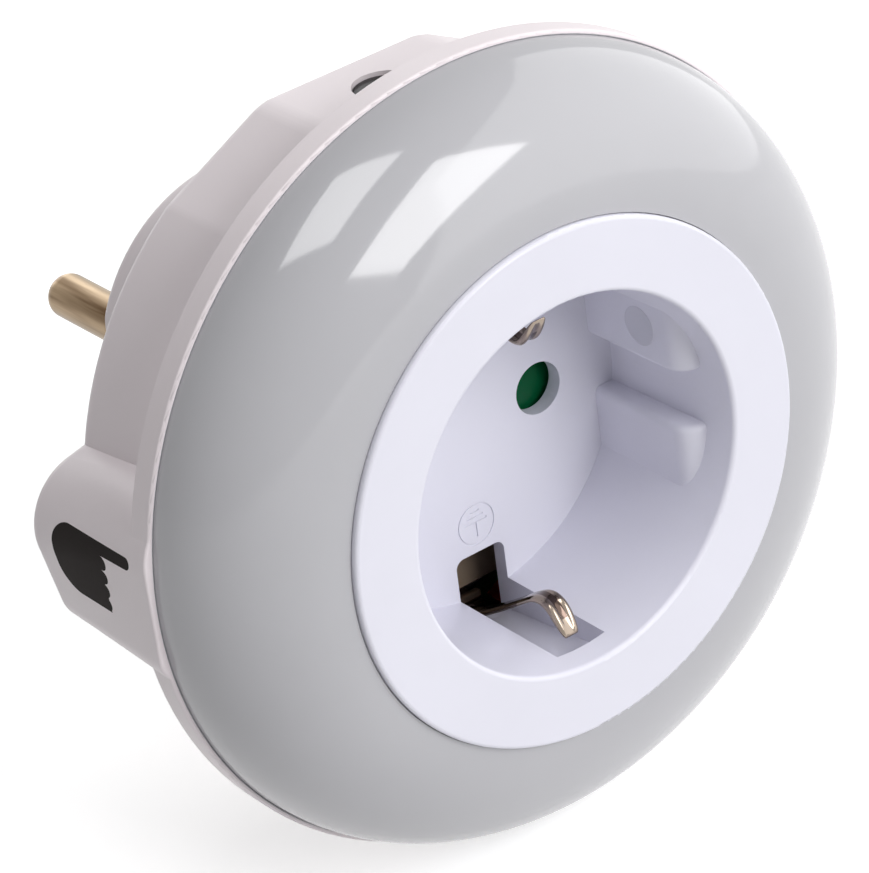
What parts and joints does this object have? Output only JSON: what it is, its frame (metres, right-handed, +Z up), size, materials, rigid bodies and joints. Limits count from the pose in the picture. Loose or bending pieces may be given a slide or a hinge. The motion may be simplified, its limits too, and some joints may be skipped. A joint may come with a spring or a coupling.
{
  "type": "plug-in night light",
  "caption": "Plug-in LED night light with a pass-through earthed socket, a glowing opal ring, a dusk sensor and a touch switch; its bare pins hold it in a wall socket.",
  "frame": {"origin": "centre of the plug's contact face, midway between the pins", "axes": "+Y along the pins into the wall, +Z up through the dusk sensor, +X right as seen from the front"},
  "size_m": [0.0828, 0.0735, 0.082],
  "materials": {
    "insert_white": "satin",
    "housing_white": "satin",
    "opal": "gloss",
    "mark_black": "matte",
    "shutter_green": "satin",
    "inner_grey": "matte",
    "inner_white": "gloss",
    "sensor_dark": "gloss",
    "cell_clear": "gloss",
    "board_white": "satin",
    "board_green": "satin",
    "led_yellow": "satin",
    "capacitor_red": "gloss",
    "can_aluminium": "satin",
    "chip_black": "matte",
    "resistor_tan": "matte",
    "brass": "satin",
    "copper": "satin",
    "spring_steel": "satin",
    "screw_zinc": "satin",
    "clip_nickel": "gloss",
    "lead_black": "satin",
    "lead_blue": "satin",
    "lead_brown": "satin"
  },
  "bodies": {
    "housing": {"bridge_rectifier": "chip_black", "bulk_capacitor": "can_aluminium", "case_screws": "screw_zinc", "contact_left": "brass", "contact_right": "brass", "controller_chip": "chip_black", "diffuser": "opal", "driver_board": "board_green", "driver_board_screws": "screw_zinc", "dropper_resistors": "resistor_tan", "earth_bridge": "brass", "earth_rivets": "brass", "earth_strap_bottom": "clip_nickel", "earth_strap_top": "clip_nickel", "film_capacitor": "capacitor_red", "fuse_link": "resistor_tan", "hand_mark": "mark_black", "led_board": "board_white", "led_board_screws": "screw_zinc", "leds": "led_yellow", "link_header": "chip_black", "link_pins": "brass", "photocell": "cell_clear", "pin_carrier": "inner_grey", "plug_boss": "housing_white", "plug_pin_left": "brass", "plug_pin_right": "brass", "rear_housing": "housing_white", "reflector_ring": "inner_white", "sensor_lens": "sensor_dark", "shutter_cover": "inner_grey", "shutter_spring": "spring_steel", "socket_floor": "insert_white", "socket_insert": "insert_white", "supply_lead_left": "lead_blue", "supply_lead_right": "lead_brown", "touch_lead": "lead_black", "touch_plate": "copper"},
    "shutter": {"shutter": "shutter_green"},
    "clip_top": {"earth_clip_top": "clip_nickel"},
    "clip_bottom": {"earth_clip_bottom": "clip_nickel"}
  },
  "joints": [
    {"name": "shutter_turn", "type": "hinge", "parent": "housing", "child": "shutter", "pos_m": [0, -0.0335, 0], "axis": [0, 1, 0], "range_deg": [0, 40], "stiffness_Nm_per_rad": 0.0005, "springref_deg": -11.46},
    {"name": "clip_top_flex", "type": "hinge", "parent": "housing", "child": "clip_top", "pos_m": [0, -0.0321, 0.0229], "axis": [-1, 0, 0], "range_deg": [0, 5.5], "stiffness_Nm_per_rad": 0.002, "springref_deg": -2.86},
    {"name": "clip_bottom_flex", "type": "hinge", "parent": "housing", "child": "clip_bottom", "pos_m": [0, -0.0321, -0.0229], "axis": [1, 0, 0], "range_deg": [0, 5.5], "stiffness_Nm_per_rad": 0.002, "springref_deg": -2.86}
  ]
}
